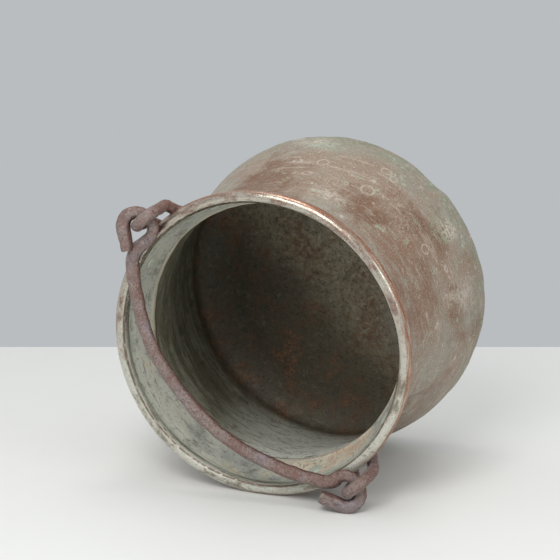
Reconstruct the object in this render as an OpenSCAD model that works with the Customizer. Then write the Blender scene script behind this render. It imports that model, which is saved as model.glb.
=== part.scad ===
// Old raised copper pail with a rolled rim, two forged iron ears and a swinging iron bail.
// It lies on its side: the mouth faces -Y and the ground is at z = 0.
// The pail is drawn upright, standing on its base around +Z, and lie_down() lays it over.

/* [Vessel] */
// Radius of the flat of the base
base_r = 109; // [85:1:130]
// Largest outside radius, low on the belly
belly_r = 152.4; // [120:0.2:190]
// Height of the largest radius above the base
belly_z = 20; // [12:1:40]
// Outside radius of the neck, where the wall meets the collar
throat_r = 123; // [100:0.5:135]
// Height of the neck above the base
throat_z = 177; // [140:1:220]
// Thickness of the hammered sheet
sheet_t = 1.4; // [1:0.1:2.5]

/* [Rolled rim] */
// Radius of the ring on which the middle of the rolled edge lies
rim_r = 135; // [125:0.5:165]
// Height of the rolled edge's middle above the neck
collar_h = 38; // [30:1:60]
// Outside radius of the rolled edge's section
curl_r = 5.5; // [4:0.1:8]
// Thickness of sheet left where the belly and the rim are worn flat on the ground
worn_t = 0.6; // [0.4:0.1:0.9]

/* [Ears] */
// Direction of the upper ear around the mouth, in degrees from +X
ear_angle = 130.3; // [115:0.1:150]
// Thickness of the ears' round bar
ear_bar_d = 10.4; // [6:0.1:11]
// Radius of the loop in which the bail swings, to the bar's middle
loop_r = 11.6; // [11.2:0.1:16]
// Distance from the rolled edge's ring out to the loop
ear_out = 14; // [11.5:0.5:25]
// Thickness of the flattened feet
foot_t = 4; // [2.5:0.1:6]
// Width of a foot where it leaves its leg
foot_w = 17; // [12:0.5:18]
// Width of a foot at its round end
foot_end_w = 15; // [11:0.5:16]
// Angle around the collar from the loop to each rivet
rivet_turn = 20; // [14:1:28]
// Distance from the rolled edge's middle down to the rivets
rivet_drop = 18; // [16:0.5:20]

/* [Rivets] */
// Thickness of a rivet's shank
shank_d = 7; // [4:0.1:9]
// Width of the wide flat head inside the collar
inner_head_d = 14.6; // [9:0.1:16]
// Width of the hammered head on the foot
outer_head_d = 10.6; // [9.2:0.1:11]

/* [Bail] */
// Thickness of the bail's bar along its long curve
bail_d = 12.5; // [8:0.1:16]
// Thickness to which the bar is drawn down in its eyes
eye_d = 10.8; // [7:0.1:11.2]
// Height of the bail above its pivot line
bail_rise = 80; // [60:1:115]
// Length of the straight between the bail's lower shoulder and its eye
bail_neck_l = 1.77; // [0.5:0.01:12]
// Radius of the shoulder between the long curve and an eye
shoulder_r = 16; // [12:1:24]
// Shift of the long curve towards the upper ear
bail_skew = 7; // [0:0.5:10]
// Sideways stretch of each eye
eye_stretch = 3.5; // [1:0.5:8]
// Length of the straight tail that closes each eye
tail_l = 17.5; // [4:0.5:20]
// Direction in which a tail starts, in degrees past the eye's outer side
tail_turn = 60; // [40:1:64]
// Tilt of each eye's outer half out of the bail's plane
eye_tilt = 16; // [0:1:20]

/* [Clearances] */
// Gap between the rolled edge and the bail's bar above it
bail_gap = 4; // [0.5:0.1:8]
// Gap between the ears and the collar
seat_gap = 0.15; // [0.1:0.05:0.4]
// Gap around each rivet's shank
shank_gap = 0.1; // [0.05:0.05:0.3]
// Gap under each rivet's wide head, at its middle
head_gap = 0.35; // [0.3:0.05:0.6]
// Gap between the foot and each rivet's hammered head
peen_gap = 0.05; // [0.02:0.01:0.2]

/* [Hidden] */
$fn = 96;

// The rolled edge: the sheet comes up inside the ring, curls over it and stops below it.
curl_z = throat_z + collar_h;
curl_start = 215;
curl_end = -115;
curl_step = 15;
inner_curl_r = curl_r - sheet_t;
// The collar's outer face ends level with the bottom of the roll.
collar_top_r = rim_r + inner_curl_r * cos(curl_start);
collar_top_z = curl_z - curl_r;
flare = atan((collar_top_r - throat_r) / (collar_top_z - throat_z));

// Heights and places of the ears and rivets
ear_r = rim_r + ear_out;
rivet_z = curl_z - rivet_drop;
pivot_z = curl_z + curl_r + bail_gap + bail_d / 2;
foot_r = throat_r + (rivet_z - throat_z) * tan(flare);
rivet_y = foot_r * sin(rivet_turn);
// The legs run down past the rolled edge, then slant in under it to the feet. They aim a
// little below the rivets and stop short of the foot's middle.
leg_bend_r = 10;
leg_bend_z = curl_z + 0.6;
leg_aim = 3.9;
leg_stop = 3.2;
leg_way = [ear_r - foot_r - foot_t / 2, leg_bend_z - rivet_z + leg_aim];
leg_slant = atan2(leg_way[0], leg_way[1]);
leg_tail = norm(leg_way) - leg_stop;

// Where two stretches of bar meet, one is a hair thicker and runs a hair into the other.
swell = 0.04;
lap = 0.05;

// The bail's curves, in its own plane: x along the pivot line, y away from it. The long
// curve's radius is the one that reaches the farther shoulder from the bail's crown.
eye_x = ear_r - eye_stretch - loop_r;
shoulder_dx = eye_x - shoulder_r + bail_skew;
shoulder_dy = bail_rise - loop_r - bail_neck_l;
bail_arc_r = (shoulder_dx * shoulder_dx + shoulder_dy * shoulder_dy - shoulder_r * shoulder_r)
    / (2 * (shoulder_dy - shoulder_r));
bail_cy = bail_rise - bail_arc_r;
shoulder_cr = bail_arc_r - shoulder_r;
function arc_end(skew) = asin((eye_x - skew - shoulder_r) / shoulder_cr);

// Outline of the sheet's outer face, from the base's edge up to the roll
corner_n = 9;
wall_n = 18;
corner = [for (i = [0 : corner_n]) let (a = 90 * i / corner_n)
    [base_r + (belly_r - base_r) * sin(a), belly_z * (1 - cos(a))]];
wall = [for (i = [1 : wall_n]) let (t = i / wall_n)
    [throat_r + (belly_r - throat_r) * (1 + cos(180 * t)) / 2,
     belly_z + (throat_z - belly_z) * t]];
outer_face = concat([[0, 0]], corner, wall, [[collar_top_r, collar_top_z]]);

// Direction across the outline at point i, and the same outline moved inwards by t
function step(p, i) = p[min(i + 1, len(p) - 1)] - p[max(i - 1, 0)];
function across(p, i) = let (d = step(p, i)) [-d[1], d[0]] / norm(d);
function inset(p, t) = [for (i = [0 : len(p) - 1])
    i == 0 ? [0, p[0][1] + t] : p[i] + t * across(p, i)];
function backwards(p) = [for (i = [len(p) - 1 : -1 : 0]) p[i]];
function curl(r) = [for (a = [curl_start : -curl_step : curl_end])
    [rim_r + r * cos(a), curl_z + r * sin(a)]];

// How far down the belly and the rim reach when the pail is laid over by an angle,
// and the angle at which they touch the ground together, found by halving
function belly_reach(d) = max([for (p = outer_face) p[0] * cos(d) + p[1] * sin(d)]);
function rim_reach(d) = rim_r * cos(d) + curl_z * sin(d) + curl_r;
function lean_between(lo, hi, n) = let (mid = (lo + hi) / 2)
    n == 0 ? mid
    : rim_reach(mid) > belly_reach(mid) ? lean_between(lo, mid, n - 1)
    : lean_between(mid, hi, n - 1);
halvings = 20;
lean = lean_between(0, 30, halvings);
ground_drop = rim_reach(lean) - (sheet_t - worn_t);

// Front and back of the lying pail, so that the origin lies under its middle
ear_y = ear_r * sin(ear_angle);
loop_reach = loop_r + ear_bar_d / 2;
front_reach = pivot_z * cos(lean) + ear_y * sin(lean) + loop_reach;
back_reach = max([for (p = outer_face) p[0] * sin(lean) - p[1] * cos(lean)]);
set_back = (front_reach - back_reach) / 2;

// The free bail hangs straight down from its slanting pivot line.
hang_lift = atan(tan(lean) / abs(cos(ear_angle)));

// Size of the block that wears away what lies below the ground
far = 2 * (belly_r + curl_z);

module lie_down() {
    translate([0, set_back, ground_drop]) rotate([90 + lean, 0, 0]) children();
}

module at_ear(side) {
    rotate([0, 0, ear_angle + 180 * side]) children();
}

// Frame of a rivet: +Z points out of the collar, the origin is on its outer face
module at_rivet(side, hand) {
    at_ear(side) rotate([0, 0, hand * rivet_turn])
        translate([foot_r, 0, rivet_z]) rotate([0, 90 + flare, 0]) children();
}

module rivet_holes(side) {
    hole_d = shank_d + 2 * shank_gap;
    hole_l = 4 * foot_t;
    for (hand = [-1, 1])
        at_rivet(side, hand) translate([0, 0, -hole_l / 2]) cylinder(d = hole_d, h = hole_l);
}

// The raised sheet: base, belly, neck, collar and the edge rolled outwards
module sheet() {
    rotate_extrude() polygon(concat(inset(outer_face, sheet_t), curl(curl_r),
        backwards(curl(inner_curl_r)), backwards(outer_face)));
}

module vessel() {
    color([0.58, 0.52, 0.45]) difference() {
        lie_down() sheet();
        translate([-far / 2, -far / 2, -far]) cube(far);
        lie_down() for (side = [0, 1]) rivet_holes(side);
    }
}

// The loop of round bar that stands above the rim, with its two slanting legs
module ear_bar() {
    translate([ear_r, 0, pivot_z]) rotate([90, 0, 90])
        rotate_extrude(angle = 180) translate([loop_r, 0]) circle(d = ear_bar_d);
    for (y = [-loop_r, loop_r]) translate([ear_r, y, leg_bend_z]) {
        translate([0, 0, -lap])
            cylinder(d = ear_bar_d + swell, h = pivot_z - leg_bend_z + 2 * lap);
        translate([-leg_bend_r, 0, 0]) rotate([90, 0, 0]) rotate([0, 0, -leg_slant]) {
            rotate_extrude(angle = leg_slant) translate([leg_bend_r, 0]) circle(d = ear_bar_d);
            translate([leg_bend_r, lap, 0]) rotate([90, 0, 0])
                cylinder(d = ear_bar_d + swell, h = leg_tail);
        }
    }
}

// Outline of one foot, seen along the radius
module foot_outline() {
    polygon([[0, rivet_z - foot_w / 2], [loop_r, rivet_z - foot_w / 2],
             [rivet_y, rivet_z - foot_end_w / 2], [rivet_y, rivet_z + foot_end_w / 2],
             [loop_r, rivet_z + foot_w / 2], [0, rivet_z + foot_w / 2]]);
    translate([rivet_y, rivet_z]) circle(d = foot_end_w);
}

module feet() {
    intersection() {
        rotate_extrude() translate([seat_gap / cos(flare), 0])
            polygon([[throat_r, throat_z], [throat_r + foot_t / cos(flare), throat_z],
                     [collar_top_r + foot_t / cos(flare), collar_top_z],
                     [collar_top_r, collar_top_z]]);
        union() for (m = [0, 1]) mirror([0, m, 0])
            translate([throat_r / 2, 0, 0]) rotate([90, 0, 90])
                linear_extrude(ear_r - throat_r / 2) foot_outline();
    }
}

module ear(side) {
    color([0.46, 0.36, 0.31]) lie_down() difference() {
        at_ear(side) difference() {
            union() {
                ear_bar();
                feet();
            }
            rotate_extrude() translate([seat_gap / cos(flare), 0])
                polygon([[0, throat_z - leg_tail],
                         [throat_r - leg_tail * tan(flare), throat_z - leg_tail],
                         [collar_top_r, collar_top_z], [0, collar_top_z]]);
        }
        rivet_holes(side);
    }
}

// A rivet with a wide low head inside and a hammered dome outside
module rivet(side, hand) {
    inner_z = -sheet_t - head_gap;
    outer_z = seat_gap + foot_t + peen_gap;
    inner_head_t = 1.8;
    outer_head_t = 2.6;
    dome = [for (a = [0 : 15 : 90])
        [outer_head_d / 2 * cos(a), outer_z + outer_head_t * sin(a)]];
    button = [for (a = [90 : -15 : 0])
        [inner_head_d / 2 * cos(a), inner_z - inner_head_t * sin(a)]];
    color([0.52, 0.53, 0.46]) lie_down() at_rivet(side, hand) rotate_extrude()
        polygon(concat(button, [[shank_d / 2, inner_z], [shank_d / 2, outer_z]], dome));
}

// A stretch of the bail's bar bent around the point [x, y]
module bent(x, y, r, from, to, d) {
    translate([x, y, 0]) rotate([0, 0, from])
        rotate_extrude(angle = to - from) translate([r, 0]) circle(d = d);
}

// A straight stretch of the bail's bar from [x, y] in a direction
module straight(x, y, l, direction, d1, d2) {
    translate([x, y, 0]) rotate([0, 0, direction]) translate([-lap, 0, 0]) rotate([0, 90, 0])
        cylinder(d1 = d1 + swell, d2 = d2 + swell, h = l + 2 * lap);
}

// Half of the bail's end piece: shoulder, eye and tail. The eye's outer half is tilted
// around the short straight that lies on the pivot line.
module bail_end(skew) {
    shoulder_lap = lap / shoulder_r * 180 / PI;
    shoulder_y = bail_cy + shoulder_cr * cos(arc_end(skew));
    bent(eye_x - shoulder_r, shoulder_y, shoulder_r, 0, 90 - arc_end(skew) + shoulder_lap,
        bail_d + 2 * swell);
    straight(eye_x, loop_r, shoulder_y - loop_r, 90, eye_d, bail_d);
    bent(eye_x + loop_r, loop_r, loop_r, 180, 270, eye_d);
    straight(eye_x + loop_r, 0, eye_stretch, 0, eye_d, eye_d);
    rotate([eye_tilt, 0, 0]) {
        bent(ear_r, loop_r, loop_r, 270, 360 + tail_turn, eye_d);
        straight(ear_r + loop_r * cos(tail_turn), loop_r + loop_r * sin(tail_turn),
            tail_l, 90 + tail_turn, eye_d, eye_d);
    }
}

module bail() {
    color([0.45, 0.37, 0.36]) lie_down() at_ear(0)
        translate([0, 0, pivot_z]) rotate([hang_lift, 0, 0]) {
            bent(bail_skew, bail_cy, bail_arc_r, 90 - arc_end(bail_skew),
                90 + arc_end(-bail_skew), bail_d);
            bail_end(bail_skew);
            mirror([1, 0, 0]) bail_end(-bail_skew);
        }
}

vessel();
ear(0);  // ear_upper
ear(1);  // ear_lower
rivet(0, 1);  // rivet_upper_left
rivet(0, -1);  // rivet_upper_right
rivet(1, -1);  // rivet_lower_left
rivet(1, 1);  // rivet_lower_right
bail();
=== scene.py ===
"""Old copper pail: builds the hammered, worn look of the pail around its imported construction.
"""

import math

import bmesh
import bpy
import numpy as np
from bpy.props import FloatProperty, FloatVectorProperty, IntProperty, PointerProperty
from mathutils import Euler, Matrix, Vector, noise


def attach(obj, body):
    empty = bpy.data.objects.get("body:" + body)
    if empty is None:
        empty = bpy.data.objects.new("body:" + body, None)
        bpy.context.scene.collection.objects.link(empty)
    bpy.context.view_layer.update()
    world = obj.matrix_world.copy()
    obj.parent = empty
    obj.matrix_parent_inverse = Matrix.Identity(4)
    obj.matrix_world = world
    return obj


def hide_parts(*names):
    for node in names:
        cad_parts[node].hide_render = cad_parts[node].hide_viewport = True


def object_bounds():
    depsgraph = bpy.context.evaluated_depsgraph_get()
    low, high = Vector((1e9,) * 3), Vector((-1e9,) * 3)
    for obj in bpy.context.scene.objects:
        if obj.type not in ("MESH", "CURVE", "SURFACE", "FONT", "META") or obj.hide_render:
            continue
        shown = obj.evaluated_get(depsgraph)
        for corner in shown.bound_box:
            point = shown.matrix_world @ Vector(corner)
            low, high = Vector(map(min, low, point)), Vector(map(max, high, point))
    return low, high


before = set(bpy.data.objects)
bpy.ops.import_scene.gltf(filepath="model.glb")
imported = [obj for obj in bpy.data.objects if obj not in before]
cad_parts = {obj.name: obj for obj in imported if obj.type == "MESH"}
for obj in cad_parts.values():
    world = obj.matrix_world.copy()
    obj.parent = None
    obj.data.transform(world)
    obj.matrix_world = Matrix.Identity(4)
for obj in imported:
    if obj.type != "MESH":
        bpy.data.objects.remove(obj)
CAD_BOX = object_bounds()

bl_info = {
    "name": "Old Copper Pail",
    "version": (1, 0, 0),
    "blender": (4, 5, 0),
    "location": "3D View > Sidebar > Pail",
    "description": "Builds a hammered copper pail with forged iron ears and bail",
    "category": "Add Mesh",
}

PAIL_BODY = "pail"
BAIL_BODY = "handle"

# Columns around the vessel, which keep it under the limit of triangles for one piece
VESSEL_COLUMNS = 376
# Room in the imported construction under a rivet's inner head, between the foot and the collar,
# and under its outer head, in metres
HEAD_GAP, SEAT_GAP, PEEN_GAP = 0.00035, 0.00015, 0.00005
# Half-widths, in degrees around, of the ears' seats and of the worn place on the ground
SEAT_REACH, GROUND_REACH = 26, 10
# How far the roll wanders, and the groove and the ridge that show its edge, in metres
ROLL_WAVE, GROOVE_DEPTH, RIDGE_HEIGHT = 0.0012, 0.0011, 0.0017
# How far the bail's bar sags and wanders, in metres
BAIL_SAG, BAIL_WANDER = 0.0008, 0.0012
# Cell size of the grid that evens out the ears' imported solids, in metres
EAR_GRID = 0.0008
# Directions on the roll's section, in degrees, where the collar runs into it and where its
# edge ends
ROLL_START, ROLL_END = 215, -115


def linear(code):
    """sRGB hex colour, such as 9d9186, as linear red, green and blue."""
    parts = [int(code[i:i + 2], 16) / 255 for i in (0, 2, 4)]
    return tuple(p / 12.92 if p <= 0.04045 else ((p + 0.055) / 1.055) ** 2.4 for p in parts)


def length(name, default, description):
    return FloatProperty(name=name, default=default, description=description,
                         subtype="DISTANCE", unit="LENGTH", precision=5)


def angle(name, degrees, description):
    return FloatProperty(name=name, default=math.radians(degrees), description=description,
                         subtype="ANGLE", unit="ROTATION")


def colour(name, code, description):
    return FloatVectorProperty(name=name, default=linear(code), description=description,
                               subtype="COLOR", size=3, min=0, max=1)


class PailSizes(bpy.types.PropertyGroup):
    """Sizes of the raised vessel and of how it lies"""

    base_r: length("Base radius", 0.109, "Radius of the flat of the base")
    belly_r: length("Belly radius", 0.1524, "Largest outside radius")
    belly_z: length("Belly height", 0.020, "Height of the largest radius above the base")
    neck_r: length("Neck radius", 0.123, "Outside radius where the wall meets the collar")
    neck_z: length("Neck height", 0.177, "Height of the neck above the base")
    sheet: length("Sheet", 0.0014, "Thickness of the hammered sheet")
    rim_r: length("Rim ring", 0.135, "Radius of the ring on which the rolled edge lies")
    collar_h: length("Collar height", 0.038, "Height of the rolled edge's middle above the neck")
    roll_r: length("Roll radius", 0.0055, "Outside radius of the rolled edge's section")
    worn: length("Sheet left where worn", 0.0006, "Thickness left where the pail lies on it")
    lean: angle("Lean", 3.58356, "How far the mouth leans down while the pail lies")
    back: length("Set back", 0.12361, "Distance from the origin back to the base")
    drop: length("Axis height", 0.152874, "Height of the middle of the base above the ground")


class WearSizes(bpy.types.PropertyGroup):
    """Hammering and damage of the vessel"""

    mark_gap: length("Mark spacing", 0.020, "Distance between the planishing marks")
    mark_depth: length("Mark depth", 0.00062, "Depth of one planishing mark")
    wave: length("Waviness", 0.0009, "Height of the slow waves left by raising")
    seed: IntProperty(name="Seed", default=7, description="Changes where the marks fall")


class IronSizes(bpy.types.PropertyGroup):
    """Sizes of the ears, the rivets and the bail"""

    ear_angle: angle("Ear direction", 130.3, "Direction of the upper ear around the mouth")
    ear_r: length("Ear radius", 0.149, "Distance from the pail's axis to an ear's loop")
    rivet_turn: angle("Rivet turn", 20, "Angle around the collar from a loop to its rivets")
    rivet_drop: length("Rivet drop", 0.018, "From the rolled edge's middle down to the rivets")
    shank_d: length("Shank", 0.007, "Thickness of a rivet's shank")
    wide_head_d: length("Wide head", 0.0146, "Width of the flat head inside the collar")
    round_head_d: length("Round head", 0.0106, "Width of the hammered head outside")
    foot_t: length("Foot", 0.004, "Thickness of an ear's flattened foot")
    bail_d: length("Bail bar", 0.0125, "Thickness of the bar along the bail's long curve")
    eye_d: length("Eye bar", 0.0108, "Thickness to which the bar is drawn down in its eyes")
    bail_rise: length("Bail rise", 0.080, "Height of the bail above its pivot line")
    neck_l: length("Bail neck", 0.00177, "Straight between the lower shoulder and its eye")
    shoulder_r: length("Shoulder radius", 0.016, "Bend between the long curve and an eye")
    bail_skew: length("Bail shift", 0.007, "Shift of the long curve towards the upper ear")
    loop_r: length("Eye radius", 0.0116, "Radius of an eye, to the bar's middle")
    eye_stretch: length("Eye stretch", 0.0035, "Sideways stretch of an eye")
    tail_l: length("Tail", 0.0175, "Length of the straight tail that closes an eye")
    tail_turn: angle("Tail turn", 60, "Where a tail starts, past the eye's outer side")
    tail_close: length("Tail close", 0.0035, "How far the tail's tip is bent in to the bar")
    eye_swell: length("Eye swell", 0.0010, "Extra bar on the outside of an eye")
    eye_tilt: angle("Eye tilt", 16, "Tilt of an eye's outer half out of the bail's plane")
    pivot_z: length("Pivot height", 0.23075, "Height of the pivot line above the base")
    hang: angle("Hang", 5.53053, "Turn of the bail out of the mouth's plane as it hangs")


class PailColours(bpy.types.PropertyGroup):
    """Colours of the metals and their patina"""

    taupe: colour("Tarnish", "968e80", "Grey tarnish that covers most of the outside")
    warm: colour("Warm tarnish", "94806f", "Warmer tarnish in soft clouds")
    brown: colour("Copper brown", "85644e", "Handled copper that shows through")
    sage: colour("Sage", "858a75", "Grey-green film low on the belly")
    verdigris: colour("Verdigris", "a9bba3", "Pale green copper salts")
    bare: colour("Bare copper", "a0694c", "Copper rubbed bare along edges")
    scratch: colour("Scratches", "d3cabd", "Pale scrapes")
    rim_pink: colour("Rim copper", "8a6c63", "Polished copper on the rolled edge")
    rim_grey: colour("Rim grey", "b9b3a6", "Rubbed tin on the rolled edge")
    tin: colour("Old tin", "c6c7bd", "Grey-green old tinning on the collar")
    tin_grey: colour("Grey tin", "a2a7a3", "Bluish grey tinning")
    cream: colour("Lime", "cfcab4", "Cream scale and scraped tin")
    lime: colour("Lime crust", "e4dfcd", "Nearly white crust")
    peach: colour("Copper scrape", "dcc0a8", "Scraped patch where copper shows pink")
    # painted light: this pale tin paints the lower inside wall as if lit through the mouth
    painted_light_tin: colour("Pale tin", "e3e4db", "Cleaner tinning low on the wall and the collar")
    base_brown: colour("Base", "736853", "Brown-grey tinning of the base")
    base_rust: colour("Base rust", "7d5a3c", "Orange-brown stain on the base")
    # painted light: this colour paints the lit side of the base
    base_painted_light: colour("Pale base", "b4ab93", "Tinning on the paler side of the base")
    soot: colour("Smoke", "45443a", "Thin smoke deposit")
    olive: colour("Olive tin", "716e5b", "Dull tinning inside the belly")
    rust_brown: colour("Stain", "63442f", "Brown stain on the inside of the base")
    dark: colour("Soot", "2b2a24", "Dark deposit")
    iron: colour("Iron", "8c7f7c", "Purple-brown iron of the bail")
    iron_red: colour("Iron red", "7d5143", "Reddish rust along the edges")
    iron_tan: colour("Iron tan", "b8a293", "Pale dry rust")
    iron_grey: colour("Iron grey", "8f8a93", "Blue-grey scale rubbed smooth")
    pit: colour("Pits", "3d2b25", "Dark brown of the rust pits")
    orange: colour("Orange rust", "8a4a26", "Fresh rust in the hollows")
    table: colour("Table", "e4e5e3", "Table top")
    wall: colour("Backdrop", "b9bdc0", "Backdrop")


class PailSettings(bpy.types.PropertyGroup):
    """All settings of the pail"""

    sizes: PointerProperty(type=PailSizes)
    wear: PointerProperty(type=WearSizes)
    iron: PointerProperty(type=IronSizes)
    colours: PointerProperty(type=PailColours)


# ---------------------------------------------------------------- nodes

def put(tree, kind, inputs=None, **settings):
    """Adds one node with its settings, its values and its links."""
    made = tree.nodes.new(kind)
    for name, value in settings.items():
        setattr(made, name, value)
    for key, value in (inputs or {}).items():
        if isinstance(value, bpy.types.NodeSocket):
            tree.links.new(value, made.inputs[key])
        else:
            made.inputs[key].default_value = value
    return made


# Sockets of a Mix node that mixes colours
MIX_A, MIX_B, MIX_RESULT = 6, 7, 2


def new_material(name):
    """An empty material and its node tree."""
    material = bpy.data.materials.new(name)
    material.use_nodes = True
    material.node_tree.nodes.clear()
    return material, material.node_tree


def pail_space(tree, sizes):
    """Coordinates of the upright pail: its axis is Z and its base is at 0, in metres."""
    back = lay_matrix(sizes).inverted()
    where = put(tree, "ShaderNodeTexCoord")
    return put(tree, "ShaderNodeMapping", {
        "Vector": where.outputs["Object"],
        "Location": back.to_translation(),
        "Rotation": back.to_euler(),
    }, vector_type="POINT").outputs["Vector"]


def paint(tree, c, base, layers):
    """Lays colours over base and returns the top colour.

    A layer is a colour and its masks, and it shows where all of them are 1. A colour is a
    name in c or a socket. A mask is a socket, a number, or what band() takes after tree.
    """
    def tone(named):
        return rgba(getattr(c, named)) if isinstance(named, str) else named

    top = tone(base)
    for over, *masks in layers:
        masks = [band(tree, *mask) if isinstance(mask, tuple) else mask for mask in masks]
        top = put(tree, "ShaderNodeMix", {
            "Factor": times(tree, *masks), MIX_A: top, MIX_B: tone(over)},
            data_type="RGBA").outputs[MIX_RESULT]
    return top


def rgba(value):
    return (*value, 1.0)


def band(tree, value, low, high, strength=1.0):
    """A mask that rises smoothly from 0 at low to strength at high."""
    return put(tree, "ShaderNodeMapRange", {
        "Value": value, "From Min": low, "From Max": high, "To Min": 0.0, "To Max": strength,
    }, interpolation_type="SMOOTHSTEP").outputs["Result"]


def times(tree, *values):
    """Product of several values."""
    result = values[0]
    for value in values[1:]:
        result = put(tree, "ShaderNodeMath", {0: result, 1: value},
                     operation="MULTIPLY").outputs[0]
    return result


def mottle(tree, where, size, detail=4.0, rough=0.55, stretch=(1, 1, 1), shift=0.0, twist=0.0,
           turn=0.0):
    """Cloudy noise whose features are size metres across, along axes turned around X and Y."""
    turned = put(tree, "ShaderNodeMapping", {
        "Vector": where, "Location": (shift, shift * 0.7, shift * 1.3),
        "Rotation": (turn, turn * 0.6, 0.0), "Scale": tuple(s / size for s in stretch),
    }, vector_type="POINT").outputs["Vector"]
    return put(tree, "ShaderNodeTexNoise", {
        "Vector": turned, "Scale": 1.0, "Detail": detail, "Roughness": rough,
        "Distortion": twist,
    }).outputs["Fac"]


def spot(tree, where, centre, reach, edge=0.35):
    """A soft mask around a place, with a half-width for each direction."""
    moved = put(tree, "ShaderNodeVectorMath", {0: where, 1: tuple(centre)},
                operation="SUBTRACT").outputs[0]
    scaled = put(tree, "ShaderNodeVectorMath", {0: moved, 1: tuple(1 / r for r in reach)},
                 operation="MULTIPLY").outputs[0]
    far = put(tree, "ShaderNodeVectorMath", {0: scaled}, operation="LENGTH").outputs["Value"]
    return band(tree, far, 1 + edge, 1 - edge)


def finish_metal(tree, colour_out, rough, metal, bumps):
    """Principled metal with stacked bumps: (height, distance, strength)."""
    normal = None
    for height, distance, strength in bumps:
        inputs = {"Height": height, "Distance": distance, "Strength": strength}
        if normal is not None:
            inputs["Normal"] = normal
        normal = put(tree, "ShaderNodeBump", inputs).outputs["Normal"]
    shader = put(tree, "ShaderNodeBsdfPrincipled", {
        "Base Color": colour_out, "Roughness": rough, "Metallic": metal, "Normal": normal,
    })
    put(tree, "ShaderNodeOutputMaterial", {"Surface": shader.outputs["BSDF"]})


def around_point(degrees, height, radius):
    """A place on the upright pail, from its direction, height and radius."""
    turn = math.radians(degrees)
    return (radius * math.cos(turn), radius * math.sin(turn), height)


def height_above_base(tree, where):
    """Distance from the base along the pail's axis."""
    return put(tree, "ShaderNodeSeparateXYZ", {0: where}).outputs["Z"]


def radius_from_axis(tree, where):
    """Distance from the pail's axis."""
    flat = put(tree, "ShaderNodeVectorMath", {0: where, 1: (1, 1, 0)},
               operation="MULTIPLY").outputs[0]
    return put(tree, "ShaderNodeVectorMath", {0: flat}, operation="LENGTH").outputs["Value"]


# Stains: direction in degrees, height, half-widths around and up in metres, strength, colour
STAINS = [
    (32, 0.061, 0.013, 0.018, 0.7, "verdigris"),
    (31, 0.054, 0.009, 0.010, 0.7, "scratch"),
    (50, 0.043, 0.004, 0.004, 0.9, "scratch"),
    (94, 0.040, 0.018, 0.012, 0.6, "scratch"),
    (88, 0.052, 0.014, 0.010, 0.5, "verdigris"),
    (72, 0.136, 0.018, 0.009, 0.6, "scratch"),
    (54, 0.083, 0.010, 0.012, 0.9, "brown"),
    (46, 0.080, 0.005, 0.006, 0.8, "brown"),
    (36, 0.133, 0.018, 0.022, 0.7, "brown"),
    (18, 0.043, 0.012, 0.014, 0.6, "brown"),
    (-10, 0.029, 0.014, 0.010, 0.6, "brown"),
    (2, 0.144, 0.014, 0.014, 0.5, "brown"),
    (8, 0.075, 0.012, 0.024, 0.45, "scratch"),
    (44, 0.105, 0.014, 0.012, 0.35, "scratch"),
    (200, 0.090, 0.020, 0.016, 0.6, "brown"),
    (160, 0.060, 0.016, 0.012, 0.6, "verdigris"),
    (250, 0.110, 0.014, 0.018, 0.6, "scratch"),
]

# Round marks of a tool's end: direction in degrees, height and radius in metres
RING_MARKS = [(62, 0.061, 0.006), (58, 0.066, 0.0045), (62, 0.101, 0.007), (84, 0.085, 0.006),
              (30, 0.100, 0.005), (170, 0.090, 0.006), (-150, 0.070, 0.007)]


def outside_radius(s, height):
    """Radius of the wall's outer face at a height."""
    t = (height - s.belly_z) / (s.neck_z - s.belly_z)
    return s.neck_r + (s.belly_r - s.neck_r) * (1 + math.cos(math.pi * t)) / 2


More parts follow.
